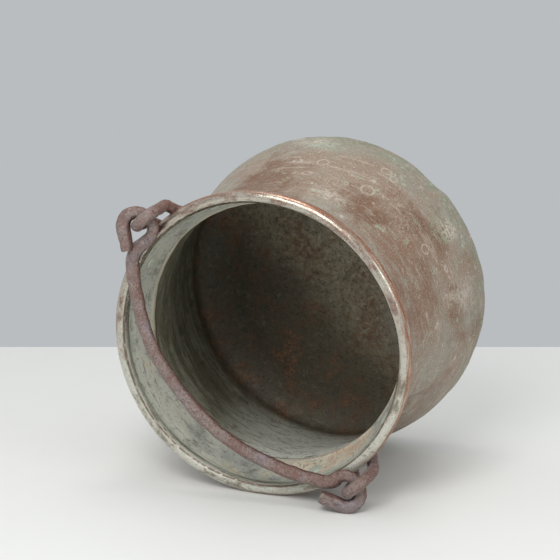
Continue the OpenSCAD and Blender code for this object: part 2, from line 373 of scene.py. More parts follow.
def outside_copper(sizes, c):
    """Raised copper, planished by hammer and tarnished by air.

    To the eye: a satin grey-brown skin with warm copper clouds, a grey-green film low on
    the belly, thin bare edges, and pale scrapes and ring marks from the hammer.
    """
    material, tree = new_material("tarnished_copper_outside")
    where = pail_space(tree, sizes)
    height = height_above_base(tree, where)
    radius = radius_from_axis(tree, where)
    # clouds of tarnish are 50 to 90 mm across, the grain is about 1.5 mm
    clouds = mottle(tree, where, 0.070, 6, 0.62, shift=3.1, twist=0.7)
    warm = mottle(tree, where, 0.085, 5, 0.6, shift=8.4, twist=0.6)
    small = mottle(tree, where, 0.012, 5, 0.65, shift=1.7)
    grain = mottle(tree, where, 0.0015, 3, 0.6, shift=5.0)
    streaks = mottle(tree, where, 0.016, 5, 0.65, stretch=(0.45, 0.45, 2), shift=2.0, twist=0.5)
    scratches = mottle(tree, where, 0.0042, 3, 0.6, stretch=(0.4, 0.4, 4), shift=4.0, twist=0.9)
    crossed = mottle(tree, where, 0.0042, 3, 0.6, stretch=(0.4, 0.4, 4), shift=6.6, twist=0.9,
                     turn=0.7)
    smears = mottle(tree, where, 0.024, 5, 0.7, shift=11.0, twist=0.8)
    low = band(tree, height, 0.062, 0.022)
    edge = times(tree, band(tree, height, 0.013, 0.004), band(tree, radius, 0.125, 0.142, 0.5))
    cells = put(tree, "ShaderNodeTexVoronoi", {
        "Vector": put(tree, "ShaderNodeMapping", {"Vector": where, "Scale": (1, 1, 1.6)},
                      vector_type="POINT").outputs["Vector"],
        "Scale": 1 / 0.036, "Randomness": 1.0}, feature="F1")
    ring = times(tree, band(tree, cells.outputs["Distance"], 0.085, 0.115),
                 band(tree, cells.outputs["Distance"], 0.165, 0.13),
                 band(tree, small, 0.46, 0.54), band(tree, clouds, 0.45, 0.55))
    copper_at = around_point(32, 0.135, sizes.neck_r + 0.006)
    copper = times(tree, spot(tree, where, copper_at, (0.055, 0.075, 0.045), 0.5),
                   band(tree, streaks, 0.34, 0.56))
    ragged = band(tree, mottle(tree, where, 0.006, 6, 0.8, shift=12.0, twist=1.0), 0.44, 0.56)
    marks = []
    for degrees, at, around, along, strength, tone in STAINS:
        centre = around_point(degrees, at, outside_radius(sizes, at))
        patch = spot(tree, where, centre, (around, around, along), 0.8)
        marks.append((tone, patch, ragged, strength))
    for degrees, at, reach in RING_MARKS:
        centre = around_point(degrees, at, outside_radius(sizes, at))
        far = put(tree, "ShaderNodeVectorMath", {0: where, 1: centre},
                  operation="DISTANCE").outputs["Value"]
        worn = put(tree, "ShaderNodeMath", {0: small, 1: reach * 0.6, 2: far},
                   operation="MULTIPLY_ADD").outputs[0]
        marks.append(("scratch", (worn, reach * 1.0, reach * 1.15),
                      (worn, reach * 1.45, reach * 1.25), (grain, 0.40, 0.56, 0.6)))
    skin = paint(tree, c, "taupe", [
        ("warm", (clouds, 0.40, 0.58, 0.9)),
        ("brown", (warm, 0.51, 0.63, 0.8)),
        ("brown", copper, 0.85),
        ("scratch", (streaks, 0.53, 0.66, 0.30), (clouds, 0.35, 0.6)),
        ("sage", low, (small, 0.36, 0.56, 0.75)),
        ("verdigris", low, (small, 0.58, 0.68, 0.6)),
        ("brown", edge, (small, 0.35, 0.5)),
        ("scratch", (scratches, 0.61, 0.66, 0.7), (smears, 0.46, 0.58)),
        ("scratch", (crossed, 0.61, 0.66, 0.7), (smears, 0.54, 0.42)),
        ("brown", (crossed, 0.42, 0.34, 0.5), (clouds, 0.40, 0.60)),
        ("verdigris", (smears, 0.57, 0.65, 0.6), (small, 0.46, 0.56)),
        ("scratch", (smears, 0.55, 0.62, 0.6), (small, 0.44, 0.36)),
        ("sage", (smears, 0.40, 0.33, 0.5), (small, 0.42, 0.55)),
        ("scratch", ring, 0.45),
        *marks,
        ("dark", (grain, 0.55, 0.70, 0.35)),
        ("scratch", (grain, 0.45, 0.32, 0.35)),
    ])
    rough = band(tree, small, 0.35, 0.65, 0.22)
    rough = put(tree, "ShaderNodeMath", {0: rough, 1: 0.42}, operation="ADD").outputs[0]
    metal = put(tree, "ShaderNodeMath", {0: band(tree, warm, 0.5, 0.62, 0.35), 1: 0.30},
                operation="ADD").outputs[0]
    finish_metal(tree, skin, rough, metal, [
        (smears, 0.0030, 0.4), (small, 0.0010, 0.5), (grain, 0.0002, 0.4),
        (scratches, 0.0003, 0.25)])
    return material


def rim_copper(sizes, c):
    """Rolled copper edge, polished by hands on its crown.

    To the eye: pink copper with a bright line of light, mint-green salts in the hollows
    on both sides, and a thin bare line where the roll turns over.
    """
    material, tree = new_material("polished_copper_rim")
    where = pail_space(tree, sizes)
    radius = radius_from_axis(tree, where)
    small = mottle(tree, where, 0.006, 5, 0.65, shift=1.2)
    along = mottle(tree, where, 0.020, 5, 0.65, stretch=(0.7, 0.7, 9), shift=6.2)
    patch = mottle(tree, where, 0.045, 4, 0.6, shift=2.9)
    grain = mottle(tree, where, 0.0012, 3, 0.6, shift=9.0)
    inward = band(tree, radius, sizes.rim_r - 0.0005, sizes.rim_r - 0.0040)
    outward = band(tree, radius, sizes.rim_r + 0.0032, sizes.rim_r + 0.0052)
    split = put(tree, "ShaderNodeSeparateXYZ", {0: where})
    # the side that lies low is greener and duller than the crown
    lower = band(tree, split.outputs["Y"], 0.04, -0.05)
    skin = paint(tree, c, "rim_grey", [
        ("rim_pink", (along, 0.46, 0.60, 0.80)),
        ("verdigris", (along, 0.40, 0.30, 0.7), (small, 0.4, 0.6)),
        ("tin", lower, (small, 0.34, 0.52, 0.8)),
        ("rim_grey", lower, (patch, 0.48, 0.60, 0.6)),
        ("olive", lower, (along, 0.50, 0.60, 0.7)),
        ("olive", lower, (small, 0.56, 0.64, 0.6)),
        ("tin", inward, (small, 0.38, 0.54, 0.7)),
        ("verdigris", inward, (small, 0.52, 0.62, 0.6)),
        ("olive", inward, (along, 0.48, 0.58, 0.5)),
        ("rust_brown", (radius, sizes.rim_r - 0.0030, sizes.rim_r - 0.0036),
         (radius, sizes.rim_r - 0.0050, sizes.rim_r - 0.0044), (small, 0.36, 0.50, 0.8)),
        ("bare", outward, (along, 0.36, 0.5, 0.8)),
        ("rust_brown", (along, 0.57, 0.66, 0.5), (small, 0.38, 0.52)),
        ("dark", (grain, 0.56, 0.68, 0.6), (patch, 0.3, 0.6)),
        ("cream", (grain, 0.42, 0.34, 0.5), (patch, 0.4, 0.6)),
    ])
    rough = put(tree, "ShaderNodeMath", {
        0: band(tree, small, 0.38, 0.62, 0.20),
        1: put(tree, "ShaderNodeMath", {0: times(tree, lower, 0.20), 1: 0.17},
               operation="ADD").outputs[0]}, operation="ADD").outputs[0]
    metal = put(tree, "ShaderNodeMath", {0: 0.80, 1: times(tree, lower, 0.5)},
                operation="SUBTRACT").outputs[0]
    finish_metal(tree, skin, rough, metal, [(small, 0.0006, 0.5), (grain, 0.00015, 0.5)])
    return material


def inside_tin(sizes, c):
    """Old tinning over copper, dulled by food, soot and water.

    To the eye: a matt grey-green collar with cream scale and scrapes and a painted highlight
    along the crease under the roll, a cream line at the neck, an olive wall painted paler low
    on the side that lies down as painted light, and a base mottled with brown stains and grey
    flecks, painted lighter on one side and darker on the other as painted light and shade.
    """
    material, tree = new_material("old_tinning_inside")
    where = pail_space(tree, sizes)
    height = height_above_base(tree, where)
    clouds = mottle(tree, where, 0.06, 5, 0.62, shift=2.3, twist=0.5)
    stain = mottle(tree, where, 0.035, 6, 0.68, shift=7.9, twist=0.3)
    small = mottle(tree, where, 0.007, 5, 0.68, shift=4.4)
    flecks = mottle(tree, where, 0.0028, 4, 0.65, shift=0.6)
    rings = mottle(tree, where, 0.030, 6, 0.7, stretch=(0.5, 0.5, 2), shift=3.3, twist=0.8)
    collar = band(tree, height, sizes.neck_z - 0.003, sizes.neck_z + 0.001)
    base = band(tree, height, 0.030, 0.016)
    neck = times(tree, band(tree, height, sizes.neck_z - 0.004, sizes.neck_z - 0.001),
                 band(tree, height, sizes.neck_z + 0.004, sizes.neck_z + 0.001))
    neck_line = times(tree, band(tree, height, sizes.neck_z - 0.0062, sizes.neck_z - 0.005),
                      band(tree, height, sizes.neck_z - 0.0030, sizes.neck_z - 0.0042))
    roll_foot = sizes.neck_z + sizes.collar_h - sizes.roll_r
    crease = band(tree, height, roll_foot - 0.0045, roll_foot + 0.0015)
    # a brown line along the roll's foot; the cream laid along it is a painted highlight on the
    # crease
    line = times(tree, band(tree, height, roll_foot + 0.0010, roll_foot + 0.0018),
                 band(tree, height, roll_foot + 0.0040, roll_foot + 0.0028))
    # painted light: low on the side that lies down, towards the neck, the wall is painted in
    # pale tin where light falls in through the mouth; the rest keeps the olive tinning
    split = put(tree, "ShaderNodeSeparateXYZ", {0: where})
    low_side = put(tree, "ShaderNodeMath", {
        0: split.outputs["X"], 1: -0.35, 2: split.outputs["Y"]},
        operation="MULTIPLY_ADD").outputs[0]
    pale = times(tree, band(tree, height, 0.000, 0.080), band(tree, low_side, -0.060, -0.135))
    dabs = mottle(tree, where, 0.019, 6, 0.8, stretch=(0.7, 0.7, 1.5), shift=8.8, twist=1.6)
    belly = paint(tree, c, "olive", [
        ("tin", (rings, 0.45, 0.62, 0.30)),
        # painted light: pale tin on the lower wall, whole and in dabs
        ("painted_light_tin", pale),
        ("soot", (dabs, 0.52, 0.60, 0.65)),
        ("painted_light_tin", pale, (dabs, 0.45, 0.36, 0.6)),
        ("soot", (small, 0.56, 0.68, 0.35)),
        ("soot", (flecks, 0.56, 0.68, 0.45)),
    ])
    # painted light and shade: a mask that is 1 towards the base's upper right as it lies, with
    # cloudy edges
    across = put(tree, "ShaderNodeMath", {
        0: put(tree, "ShaderNodeMath", {0: split.outputs["X"], 1: split.outputs["Y"]},
               operation="ADD").outputs[0],
        1: put(tree, "ShaderNodeMath", {0: clouds, 1: 0.09}, operation="MULTIPLY").outputs[0]},
        operation="ADD").outputs[0]
    paler = band(tree, across, -0.06, 0.16)
    specks = mottle(tree, where, 0.0045, 6, 0.8, shift=1.9, twist=0.8)
    patch_at = around_point(-22, 0.004, 0.085)
    pale_patch = spot(tree, where, patch_at, (0.030, 0.034, 0.030), 0.7)
    floor = paint(tree, c, "base_brown", [
        # painted light in pale base colour and grey tin on the lit side, and painted shade in
        # soot-dark on the other side
        ("base_painted_light", paler, 0.85),
        ("dark", (paler, 0.45, 0.0, 0.65)),
        ("soot", (clouds, 0.52, 0.66, 0.35)),
        ("rust_brown", (stain, 0.42, 0.62), (small, 0.38, 0.56, 0.6)),
        ("base_rust", (stain, 0.49, 0.62), (flecks, 0.49, 0.59, 0.7)),
        ("olive", (small, 0.50, 0.62), (stain, 0.54, 0.40, 0.5)),
        ("tin_grey", paler, (small, 0.47, 0.38), (flecks, 0.52, 0.42, 0.6)),
        ("dark", (stain, 0.60, 0.45), (flecks, 0.52, 0.66, 0.5)),
        ("dark", (specks, 0.50, 0.66, 0.7)),
        ("base_painted_light", paler, (specks, 0.48, 0.36, 0.5)),
        ("tin_grey", pale_patch, (small, 0.42, 0.56, 0.7)),
    ])
    brush = mottle(tree, where, 0.008, 4, 0.7, stretch=(0.35, 0.35, 2.6), shift=5.1, twist=0.6)
    lip = paint(tree, c, "tin", [
        ("tin_grey", (clouds, 0.46, 0.58, 0.7)),
        ("cream", (stain, 0.50, 0.60, 0.9), (small, 0.42, 0.54)),
        ("peach", (stain, 0.56, 0.64, 0.8), (flecks, 0.50, 0.60)),
        ("olive", (stain, 0.46, 0.36, 0.6), (small, 0.40, 0.58)),
        ("olive", (brush, 0.55, 0.65, 0.65)),
        ("cream", (brush, 0.42, 0.34, 0.4)),
        ("dark", (flecks, 0.57, 0.68, 0.55)),
        ("cream", (flecks, 0.42, 0.33, 0.35)),
        ("verdigris", crease, (small, 0.35, 0.55, 0.5)),
        ("rust_brown", line),
        # painted highlight: broken cream along the crease line
        ("cream", line, (brush, 0.48, 0.40)),
    ])
    scrape_at = around_point(-62, sizes.neck_z + 0.010, sizes.neck_r)
    scrape = times(tree, spot(tree, where, scrape_at, (0.052, 0.040, 0.016), 0.25),
                   band(tree, small, 0.36, 0.46), band(tree, brush, 0.34, 0.44))
    skin = paint(tree, c, belly, [
        (floor, base),
        (lip, collar),
        ("cream", neck, (small, 0.32, 0.48, 0.9)),
        ("rust_brown", neck_line, 0.8),
        ("peach", scrape),
        ("lime", scrape, (stain, 0.44, 0.54, 0.8)),
        ("cream", scrape, (small, 0.50, 0.58, 0.7)),
        ("olive", scrape, (flecks, 0.54, 0.62, 0.65)),
    ])
    rough = put(tree, "ShaderNodeMath", {0: band(tree, small, 0.35, 0.65, 0.2), 1: 0.50},
                operation="ADD").outputs[0]
    finish_metal(tree, skin, rough, 0.25, [
        (small, 0.0009, 0.6), (brush, 0.0005, 0.5), (flecks, 0.0004, 0.5)])
    return material


def forged_iron(name, c, ears):
    """Wrought iron, hammered at red heat and left to rust dry.

    To the eye: matt purple-brown with a blue-grey polish on the high places, red-brown
    along the edges, tan dust, dark pits and, on the ears, orange rust in the hollows.
    """
    material, tree = new_material(name)
    where = put(tree, "ShaderNodeTexCoord").outputs["Object"]
    clouds = mottle(tree, where, 0.030, 5, 0.6, shift=1.0)
    small = mottle(tree, where, 0.0055, 6, 0.78, shift=2.0, twist=0.5)
    pits = mottle(tree, where, 0.0026, 5, 0.7, shift=6.0)
    grain = mottle(tree, where, 0.0013, 3, 0.6, shift=3.0)
    bent = put(tree, "ShaderNodeNewGeometry").outputs["Pointiness"]
    # red rust and dark pits are laid on the side that faces up and to the right
    facing = put(tree, "ShaderNodeVectorMath", {
        0: put(tree, "ShaderNodeTexCoord").outputs["Normal"], 1: (0.70, 0.45, 0.50)},
        operation="DOT_PRODUCT").outputs["Value"]
    facing_up_right = band(tree, facing, 0.10, 0.60)
    skin = paint(tree, c, "iron", [
        ("iron_red", (clouds, 0.50, 0.62, 0.40)),
        ("iron_grey", (clouds, 0.47, 0.36, 0.65)),
        ("iron_tan", (small, 0.52, 0.66, 0.65 if ears else 0.35)),
        ("iron_red", (small, 0.47, 0.36, 0.60 if ears else 0.45)),
        ("iron_red", (pits, 0.50, 0.64, 0.40)),
        ("iron_tan", (pits, 0.45, 0.35, 0.45)),
        ("orange", (bent, 0.495, 0.46, 0.7)),
        ("pit", (grain, 0.50, 0.64, 0.65), (small, 0.46, 0.56)),
        ("iron_tan", (grain, 0.46, 0.34, 0.30)),
        ("iron_red", facing_up_right, (small, 0.36, 0.52, 0.60)),
        ("pit", facing_up_right, (grain, 0.48, 0.60, 0.5)),
    ])
    rough = put(tree, "ShaderNodeMath", {
        0: band(tree, clouds, 0.35, 0.65, 0.20), 1: 0.52 if ears else 0.34},
        operation="ADD").outputs[0]
    finish_metal(tree, skin, rough, 0.25 if ears else 0.55, [
        (small, 0.0020, 0.9), (pits, 0.0012, 0.9), (grain, 0.0004, 0.7)])
    return material


def tinned_head(sizes, c):
    """Hammered copper rivets under old tinning: grey-green heads with pale rims."""
    material, tree = new_material("tinned_rivet_heads")
    where = pail_space(tree, sizes)
    small = mottle(tree, where, 0.005, 5, 0.65, shift=1.4)
    grain = mottle(tree, where, 0.0012, 3, 0.6, shift=2.4)
    skin = paint(tree, c, "tin", [
        ("verdigris", (small, 0.50, 0.62, 0.7)),
        ("olive", (small, 0.44, 0.34, 0.6)),
        ("dark", (grain, 0.58, 0.70, 0.4)),
    ])
    rough = put(tree, "ShaderNodeMath", {0: band(tree, small, 0.35, 0.65, 0.2), 1: 0.5},
                operation="ADD").outputs[0]
    finish_metal(tree, skin, rough, 0.3, [(small, 0.0005, 0.6), (grain, 0.0002, 0.4)])
    return material


# ---------------------------------------------------------------- shapes

def lay_matrix(sizes):
    """Takes the upright pail, on its base around Z, to how it lies."""
    return (Matrix.Translation((0, sizes.back, sizes.drop))
            @ Matrix.Rotation(math.pi / 2 + sizes.lean, 4, "X"))


def moved(matrix, points):
    """Points of an (n, 3) array after a matrix."""
    m = np.array(matrix)
    return points @ m[:3, :3].T + m[:3, 3]


def new_object(name, data):
    obj = bpy.data.objects.new(name, data)
    bpy.context.scene.collection.objects.link(obj)
    return obj


def grid_mesh(name, points, faces):
    mesh = bpy.data.meshes.new(name)
    mesh.from_pydata(points.tolist(), [], faces)
    mesh.update()
    return mesh


def set_attribute(mesh, name, kind, domain, values):
    layer = mesh.attributes.new(name, kind, domain)
    layer.data.foreach_set("value", values)


def plain_mesh(obj, name):
    """The evaluated object as a plain mesh object, in place of the old one."""
    shape = bpy.data.meshes.new_from_object(
        obj.evaluated_get(bpy.context.evaluated_depsgraph_get()))
    shape.name = name
    bpy.data.objects.remove(obj)
    return new_object(name, shape)


def smooth(mesh, sharp_degrees=60):
    mesh.polygons.foreach_set("use_smooth", [True] * len(mesh.polygons))
    mesh.set_sharp_from_angle(angle=math.radians(sharp_degrees))
    mesh.update()


def set_inputs(modifier, values):
    """Sets a modifier's inputs, found by name, through their sockets' identifiers."""
    sockets = {item.name: item.identifier
               for item in modifier.node_group.interface.items_tree
               if item.item_type == "SOCKET" and item.in_out == "INPUT"}
    for name, value in values.items():
        modifier[sockets[name]] = value


def new_tree(name, inputs):
    """A geometry tree with a geometry in and out, and the named inputs."""
    tree = bpy.data.node_groups.new(name, "GeometryNodeTree")
    tree.interface.new_socket("Geometry", in_out="INPUT", socket_type="NodeSocketGeometry")
    for label, kind in inputs:
        tree.interface.new_socket(label, in_out="INPUT", socket_type="NodeSocket" + kind)
    tree.interface.new_socket("Geometry", in_out="OUTPUT", socket_type="NodeSocketGeometry")
    start = put(tree, "NodeGroupInput")
    return tree, start


def push_in(tree, geometry, depth):
    """Moves a surface inwards along its normal by a depth field."""
    inward = put(tree, "ShaderNodeMath", {0: depth, 1: -1.0}, operation="MULTIPLY").outputs[0]
    offset = put(tree, "ShaderNodeVectorMath", {
        0: put(tree, "GeometryNodeInputNormal").outputs[0], "Scale": inward},
        operation="SCALE").outputs[0]
    return put(tree, "GeometryNodeSetPosition", {
        "Geometry": geometry, "Offset": offset}).outputs["Geometry"]


def finish_tree(tree, start, shape):
    """Ends a tree: real geometry with the material of its input."""
    shape = put(tree, "GeometryNodeRealizeInstances", {"Geometry": shape}).outputs[0]
    shape = put(tree, "GeometryNodeSetMaterial", {
        "Geometry": shape, "Material": start.outputs["Material"]}).outputs[0]
    put(tree, "NodeGroupOutput", {0: shape})
    return tree


def per_metre(tree, size):
    return put(tree, "ShaderNodeMath", {0: 1.0, 1: size}, operation="DIVIDE").outputs[0]


def seeded_place(tree, seed):
    """Position, shifted by the seed so that another seed gives other marks."""
    shift = put(tree, "ShaderNodeCombineXYZ", {
        0: put(tree, "ShaderNodeMath", {0: seed, 1: 0.37}, operation="MULTIPLY").outputs[0],
        1: 0.11, 2: 0.23}).outputs[0]
    return put(tree, "ShaderNodeVectorMath", {
        0: put(tree, "GeometryNodeInputPosition").outputs[0], 1: shift}).outputs[0]


def hammer_tree():
    """Planishing marks: shallow round dishes pressed into the sheet at a set spacing."""
    tree, start = new_tree("planishing_marks", [
        ("Mark spacing", "Float"), ("Mark depth", "Float"), ("Seed", "Float"),
        ("Outside", "Material"), ("Rim", "Material"), ("Inside", "Material")])
    cells = put(tree, "ShaderNodeTexVoronoi", {
        "Vector": seeded_place(tree, start.outputs["Seed"]),
        "Scale": per_metre(tree, start.outputs["Mark spacing"]),
        "Randomness": 0.9}, feature="F1")
    dish = put(tree, "ShaderNodeMapRange", {
        "Value": cells.outputs["Distance"], "From Min": 0.62, "From Max": 0.0},
        interpolation_type="SMOOTHSTEP").outputs["Result"]
    hammered = put(tree, "GeometryNodeInputNamedAttribute", {"Name": "hammered"},
                   data_type="FLOAT").outputs["Attribute"]
    shape = push_in(tree, start.outputs["Geometry"],
                    times(tree, dish, hammered, start.outputs["Mark depth"]))
    shape = put(tree, "GeometryNodeRealizeInstances", {"Geometry": shape}).outputs[0]
    finish = put(tree, "GeometryNodeInputNamedAttribute", {"Name": "finish"},
                 data_type="INT").outputs["Attribute"]
    for number, label in enumerate(("Outside", "Rim", "Inside")):
        chosen = put(tree, "FunctionNodeCompare", {2: finish, 3: number},
                     data_type="INT", operation="EQUAL").outputs[0]
        shape = put(tree, "GeometryNodeSetMaterial", {
            "Geometry": shape, "Selection": chosen,
            "Material": start.outputs[label]}).outputs[0]
    put(tree, "NodeGroupOutput", {0: shape})
    return tree


def forged_depth(tree, start):
    """Depth field of forged iron: broad hammer flats and small pits, less a raised skin."""
    place = seeded_place(tree, start.outputs["Seed"])
    flats = put(tree, "ShaderNodeTexVoronoi", {
        "Vector": place, "Scale": per_metre(tree, start.outputs["Flat size"]),
        "Smoothness": 0.6}, feature="SMOOTH_F1").outputs["Distance"]
    flats = put(tree, "ShaderNodeMapRange", {
        "Value": flats, "From Min": 0.75, "From Max": 0.1}).outputs["Result"]
    pits = put(tree, "ShaderNodeTexNoise", {
        "Vector": place, "Scale": per_metre(tree, start.outputs["Pit size"]),
        "Detail": 3.0, "Roughness": 0.6}).outputs["Fac"]
    pits = put(tree, "ShaderNodeMapRange", {
        "Value": pits, "From Min": 0.45, "From Max": 0.75},
        interpolation_type="SMOOTHSTEP").outputs["Result"]
    sunk = put(tree, "ShaderNodeMath", {
        0: times(tree, flats, start.outputs["Flat depth"]),
        1: times(tree, pits, start.outputs["Pit depth"])}, operation="ADD").outputs[0]
    return put(tree, "ShaderNodeMath", {0: sunk, 1: start.outputs["Raise"]},
               operation="SUBTRACT").outputs[0]


FORGED_INPUTS = [("Flat size", "Float"), ("Flat depth", "Float"), ("Pit size", "Float"),
                 ("Pit depth", "Float"), ("Raise", "Float"), ("Seed", "Float"),
                 ("Material", "Material")]


def forged_tree():
    """Hammer flats and rust pits on a solid's surface."""
    tree, start = new_tree("forged_skin", FORGED_INPUTS)
    shape = push_in(tree, start.outputs["Geometry"], forged_depth(tree, start))
    return finish_tree(tree, start, shape)


def bail_tree():
    """A forged bar swept along the bail's centre line, with a squared round section."""
    tree, start = new_tree("forged_bail", [("Bar thickness", "Float")] + FORGED_INPUTS)
    ring = put(tree, "GeometryNodeCurvePrimitiveCircle", {
        "Resolution": 28,
        "Radius": times(tree, start.outputs["Bar thickness"], 0.5)}).outputs["Curve"]
    # a fourth-power rounding pulls the sides flat and leaves soft corners
    place = put(tree, "GeometryNodeInputPosition").outputs[0]
    unit = put(tree, "ShaderNodeVectorMath", {0: place}, operation="NORMALIZE").outputs[0]
    split = put(tree, "ShaderNodeSeparateXYZ", {0: unit})
    powers = [put(tree, "ShaderNodeMath", {
        0: put(tree, "ShaderNodeMath", {0: split.outputs[axis]},
               operation="ABSOLUTE").outputs[0], 1: 3.2}, operation="POWER").outputs[0]
        for axis in ("X", "Y")]
    total = put(tree, "ShaderNodeMath", {0: powers[0], 1: powers[1]},
                operation="ADD").outputs[0]
    grow = put(tree, "ShaderNodeMath", {0: total, 1: -1 / 3.2}, operation="POWER").outputs[0]
    grow = times(tree, grow, 0.955)
    squared = put(tree, "GeometryNodeSetPosition", {
        "Geometry": ring,
        "Position": put(tree, "ShaderNodeVectorMath", {0: place, "Scale": grow},
                        operation="SCALE").outputs[0]}).outputs["Geometry"]
    sweep = put(tree, "GeometryNodeCurveToMesh", {
        "Curve": start.outputs["Geometry"], "Profile Curve": squared, "Fill Caps": True})
    if "Scale" in sweep.inputs:
        radius = put(tree, "GeometryNodeInputRadius").outputs[0]
        tree.links.new(radius, sweep.inputs["Scale"])
    shape = push_in(tree, sweep.outputs[0], forged_depth(tree, start))
    return finish_tree(tree, start, shape)


def rivet_tree():
    """Copies the rivet to both feet of both ears and lays them with the pail."""
    tree, start = new_tree("ear_rivets", [
        ("Ear direction", "Float"), ("Rivet turn", "Float"), ("Collar radius", "Float"),
        ("Rivet height", "Float"), ("Collar flare", "Float"), ("Pail lean", "Float"),
        ("Pail place", "Vector"), ("Dent depth", "Float"), ("Seed", "Float"),
        ("Material", "Material")])
    index = put(tree, "GeometryNodeInputIndex").outputs[0]
    ear = put(tree, "ShaderNodeMath", {
        0: put(tree, "ShaderNodeMath", {0: index, 1: 0.5}, operation="MULTIPLY").outputs[0]},
        operation="FLOOR").outputs[0]
    hand = put(tree, "ShaderNodeMath", {
        0: put(tree, "ShaderNodeMath", {0: index, 1: 2.0}, operation="MODULO").outputs[0],
        1: 2.0, 2: -1.0}, operation="MULTIPLY_ADD").outputs[0]
    turn = put(tree, "ShaderNodeMath", {
        0: ear, 1: math.pi, 2: start.outputs["Ear direction"]},
        operation="MULTIPLY_ADD").outputs[0]
    turn = put(tree, "ShaderNodeMath", {0: hand, 1: start.outputs["Rivet turn"], 2: turn},
               operation="MULTIPLY_ADD").outputs[0]
    spokes = [times(tree, put(tree, "ShaderNodeMath", {0: turn}, operation=kind).outputs[0],
                    start.outputs["Collar radius"]) for kind in ("COSINE", "SINE")]
    points = put(tree, "GeometryNodePoints", {
        "Count": 4,
        "Position": put(tree, "ShaderNodeCombineXYZ", {
            0: spokes[0], 1: spokes[1], 2: start.outputs["Rivet height"]}).outputs[0],
    }).outputs[0]
    tip = put(tree, "ShaderNodeMath", {0: start.outputs["Collar flare"], 1: math.pi / 2},
              operation="ADD").outputs[0]
    placed = put(tree, "GeometryNodeInstanceOnPoints", {
        "Points": points, "Instance": start.outputs["Geometry"],
        "Rotation": put(tree, "ShaderNodeCombineXYZ", {1: tip, 2: turn}).outputs[0],
    }).outputs[0]
    lean = put(tree, "ShaderNodeMath", {0: start.outputs["Pail lean"], 1: math.pi / 2},
               operation="ADD").outputs[0]
    laid = put(tree, "GeometryNodeTransform", {
        "Geometry": put(tree, "GeometryNodeRealizeInstances", {
            "Geometry": placed}).outputs[0],
        "Translation": start.outputs["Pail place"],
        "Rotation": put(tree, "ShaderNodeCombineXYZ", {0: lean}).outputs[0]}).outputs[0]
    dents = put(tree, "ShaderNodeTexNoise", {
        "Vector": seeded_place(tree, start.outputs["Seed"]), "Scale": 260.0,
        "Detail": 2.0}).outputs["Fac"]
    shape = push_in(tree, laid, times(tree, dents, start.outputs["Dent depth"]))
    return finish_tree(tree, start, shape)


# Parts of the sheet's outline, in the order in which it is drawn
OUTSIDE, RIM, INSIDE = 0, 1, 2


def inset(outline, depth):
    """The outline moved inwards by a depth."""
    step = np.gradient(outline, axis=0)
    across = np.stack([-step[:, 1], step[:, 0]], 1)
    return outline + depth * across / np.linalg.norm(across, axis=1)[:, None]


def sheet_outline(s):
    """Radius and height along the whole section of the sheet, and the finish of each row."""
    turn = np.radians(np.linspace(0, 90, 17))
    base = np.stack([np.linspace(0.002, s.base_r, 22)[:-1], np.zeros(21)], 1)
    corner = np.stack([s.base_r + (s.belly_r - s.base_r) * np.sin(turn),
                       s.belly_z * (1 - np.cos(turn))], 1)
    # rows crowd at the neck, where the wall turns sharply into the collar
    t = np.concatenate([np.linspace(0, 1, 50)[1:-1], [0.993, 1.0]])
    wall = np.stack([s.neck_r + (s.belly_r - s.neck_r) * (1 + np.cos(np.pi * t)) / 2,
                     s.belly_z + (s.neck_z - s.belly_z) * t], 1)
    start = math.radians(ROLL_START)
    thin_r = s.roll_r - s.sheet
    roll_z = s.neck_z + s.collar_h
    top = np.array([s.rim_r + thin_r * math.cos(start), roll_z - s.roll_r])
    t = np.concatenate([[0.03], np.linspace(0, 1, 14)[1:]])[:, None]
    collar = wall[-1] + (top - wall[-1]) * t
    outer = np.concatenate([base, corner, wall, collar])

    def roll(radius, count):
        a = np.linspace(start, math.radians(ROLL_END), count)
        return np.stack([s.rim_r + radius * np.cos(a), roll_z + radius * np.sin(a)], 1)

    hidden = roll(thin_r, 12)[::-1]
    crown = roll(s.roll_r, 46)
    inner = inset(outer, s.sheet)
    rows = np.concatenate([outer[:-1], hidden[::-1], crown[::-1], inner[::-1][:-1]])
    finish = ([OUTSIDE] * (len(outer) - 1) + [OUTSIDE] * len(hidden) + [RIM] * len(crown)
              + [INSIDE] * (len(inner) - 1))
    return rows, np.array(finish)


def hump(value, centre, reach):
    """1 at the centre, falling smoothly to 0 at about twice the reach."""
    return np.exp(-((value - centre) / reach) ** 2)


def turned(angle_deg, centre):
    """Angles from a centre direction, between -180 and 180 degrees."""
    return (angle_deg - centre + 180) % 360 - 180


# Dents: direction in degrees, height in metres, half-widths around in degrees and up in
# metres, depth in millimetres; a negative depth is a bulge
DENTS = [
    (49.5, 0.030, 7.0, 0.040, 2.6),
    (41.5, 0.030, 2.6, 0.030, -0.9),
    (34.0, 0.029, 1.6, 0.012, 0.8),
    (68.0, 0.160, 9.0, 0.005, 1.0),
    (-20.0, 0.045, 14.0, 0.030, 0.8),
    (112.0, 0.070, 16.0, 0.040, 0.7),
    (12.0, 0.120, 12.0, 0.028, 0.5),
    (178.0, 0.060, 14.0, 0.035, 1.0),
    (-140.0, 0.100, 12.0, 0.030, 0.8),
    (-60.0, 0.085, 8.0, 0.020, 0.7),
]


def sheet_depth(wear, degrees, height, radius):
    """How far the sheet is pushed inwards at each place, in metres."""
    where = np.stack([radius * np.cos(np.radians(degrees)),
                      radius * np.sin(np.radians(degrees)), height], 1)
    slow = np.array([noise.noise(Vector(p) / 0.060 + Vector((3.0, 1.0, 2.0)))
                     for p in where])
    quick = np.array([noise.noise(Vector(p) / 0.022 + Vector((7.0, 5.0, 2.5)))
                      for p in where])
    depth = wear.wave * (1 + slow) + 0.4 * wear.wave * quick
    for at, up, around, along, deep in DENTS:
        depth += deep * 0.001 * hump(turned(degrees, at), 0, around) * hump(height, up, along)
    # a straight crease runs up the low right side
    crease_at = -33 + (height - 0.10) * 60
    depth += 0.0011 * hump(turned(degrees, crease_at), 0, 1.6) * hump(height, 0.100, 0.038)
    return depth


